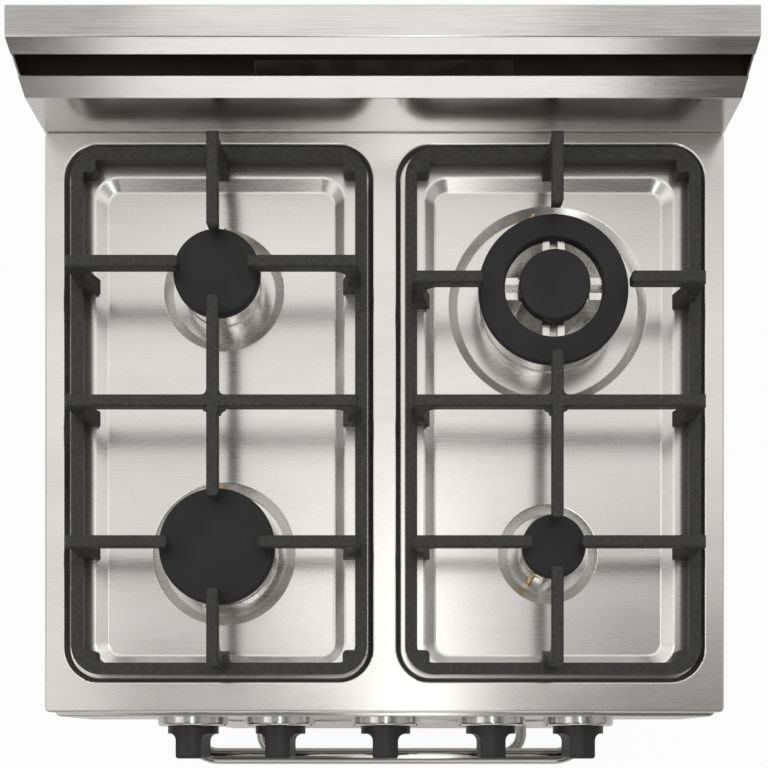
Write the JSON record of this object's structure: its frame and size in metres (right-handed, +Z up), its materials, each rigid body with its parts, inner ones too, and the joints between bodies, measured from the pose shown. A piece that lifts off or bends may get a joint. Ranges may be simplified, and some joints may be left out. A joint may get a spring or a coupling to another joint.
{
  "type": "freestanding gas range",
  "caption": "Freestanding gas range with burners under cast pan supports, turning knobs, a drop-down oven door, a storage drawer and a low backguard with a vent slot.",
  "frame": {"origin": "on the floor, under the middle of the overall box", "axes": "+Z up, +Y towards the wall, the control panel and door face -Y, +X to the user's right"},
  "size_m": [0.6, 0.6065, 0.9765],
  "materials": {
    "steel": "fine brushed stainless steel",
    "case": "satin silver-grey coat",
    "galvanised": "zinc-coated sheet",
    "black_metal": "matt black coat",
    "foot": "black moulded plastic",
    "cast_iron": "matt black enamelled cast iron",
    "enamel": "matt black enamel",
    "alloy": "die-cast and turned aluminium",
    "knob": "satin black plastic",
    "chrome": "satin chrome plate",
    "handle": "polished steel tube",
    "spindle": "turned steel",
    "brass": "machined brass",
    "pipe": "drawn metal tube",
    "porcelain": "white ceramic",
    "oven_enamel": "speckled dark enamel",
    "seal": "black silicone",
    "glass": "dark tinted glass"
  },
  "bodies": {
    "range_body": {"hob_top": "steel", "backguard_front": "steel", "backguard_cover": "steel", "control_panel": "steel", "side_panel_left": "case", "side_panel_right": "case", "rear_panel": "galvanised", "base_frame": "galvanised", "flue_duct": "galvanised", "oven_front_frame": "galvanised", "drawer_rails": "galvanised", "hinge_brackets": "galvanised", "vent_channel": "black_metal", "leveling_feet": "foot", "cap_rapid": "enamel", "cap_semi": "enamel", "cap_aux": "enamel", "cap_wok_ring": "enamel", "cap_wok_centre": "enamel", "burner_cups": "alloy", "crown_rapid": "alloy", "crown_semi": "alloy", "crown_aux": "alloy", "crown_wok": "alloy", "knob_bezels": "chrome", "rack_guides": "chrome", "oven_rack": "chrome", "tap_bodies": "brass", "gas_inlet": "brass", "flame_probes": "brass", "gas_rail": "pipe", "burner_feed_pipes": "pipe", "oven_burner": "pipe", "spark_electrodes": "porcelain", "oven_liner": "oven_enamel", "oven_floor_plate": "oven_enamel", "door_seal": "seal"},
    "oven_door": {"door_panel": "steel", "door_glass": "glass", "door_inner_panel": "galvanised", "door_inner_glass": "glass", "door_handle": "handle", "door_hinge_arms": "galvanised"},
    "storage_drawer": {"drawer_front": "steel", "drawer_box": "galvanised", "drawer_handle": "handle", "drawer_slides": "galvanised"},
    "pan_support_left": {"grate_left": "cast_iron"},
    "pan_support_right": {"grate_right": "cast_iron"},
    "tap_turn_1": {"tap_spindle_1": "spindle"},
    "knob_1": {"knob_1": "knob"},
    "tap_turn_2": {"tap_spindle_2": "spindle"},
    "knob_2": {"knob_2": "knob"},
    "tap_turn_3": {"tap_spindle_3": "spindle"},
    "knob_3": {"knob_3": "knob"},
    "tap_turn_4": {"tap_spindle_4": "spindle"},
    "knob_4": {"knob_4": "knob"},
    "tap_turn_5": {"tap_spindle_5": "spindle"},
    "knob_5": {"knob_5": "knob"}
  },
  "joints": [
    {"name": "door_drop", "type": "hinge", "parent": "range_body", "child": "oven_door", "pos_m": [0, -0.23725, 0.34202], "axis": [1, 0, 0], "range_deg": [0, 88], "stiffness_Nm_per_rad": 12, "springref_deg": -14.32},
    {"name": "drawer_pull", "type": "slide", "parent": "range_body", "child": "storage_drawer", "axis": [0, -1, 0], "range_m": [0, 0.32]},
    {"name": "lift_left", "type": "slide", "parent": "range_body", "child": "pan_support_left", "axis": [0, 0, 1], "range_m": [0, 0.15]},
    {"name": "lift_right", "type": "slide", "parent": "range_body", "child": "pan_support_right", "axis": [0, 0, 1], "range_m": [0, 0.15]},
    {"name": "knob_turn_1", "type": "hinge", "parent": "range_body", "child": "tap_turn_1", "pos_m": [-0.183, -0.25825, 0.84], "axis": [0, -1, 0], "range_deg": [0, 210]},
    {"name": "knob_push_1", "type": "slide", "parent": "tap_turn_1", "child": "knob_1", "axis": [0, 1, 0], "range_m": [0, 0.004], "stiffness_N_per_m": 700, "springref_m": -0.002},
    {"name": "knob_turn_2", "type": "hinge", "parent": "range_body", "child": "tap_turn_2", "pos_m": [-0.1, -0.25825, 0.84], "axis": [0, -1, 0], "range_deg": [0, 210]},
    {"name": "knob_push_2", "type": "slide", "parent": "tap_turn_2", "child": "knob_2", "axis": [0, 1, 0], "range_m": [0, 0.004], "stiffness_N_per_m": 700, "springref_m": -0.002},
    {"name": "knob_turn_3", "type": "hinge", "parent": "range_body", "child": "tap_turn_3", "pos_m": [0, -0.25825, 0.84], "axis": [0, -1, 0], "range_deg": [0, 210]},
    {"name": "knob_push_3", "type": "slide", "parent": "tap_turn_3", "child": "knob_3", "axis": [0, 1, 0], "range_m": [0, 0.004], "stiffness_N_per_m": 700, "springref_m": -0.002},
    {"name": "knob_turn_4", "type": "hinge", "parent": "range_body", "child": "tap_turn_4", "pos_m": [0.1, -0.25825, 0.84], "axis": [0, -1, 0], "range_deg": [0, 210]},
    {"name": "knob_push_4", "type": "slide", "parent": "tap_turn_4", "child": "knob_4", "axis": [0, 1, 0], "range_m": [0, 0.004], "stiffness_N_per_m": 700, "springref_m": -0.002},
    {"name": "knob_turn_5", "type": "hinge", "parent": "range_body", "child": "tap_turn_5", "pos_m": [0.183, -0.25825, 0.84], "axis": [0, -1, 0], "range_deg": [0, 210]},
    {"name": "knob_push_5", "type": "slide", "parent": "tap_turn_5", "child": "knob_5", "axis": [0, 1, 0], "range_m": [0, 0.004], "stiffness_N_per_m": 700, "springref_m": -0.002}
  ]
}
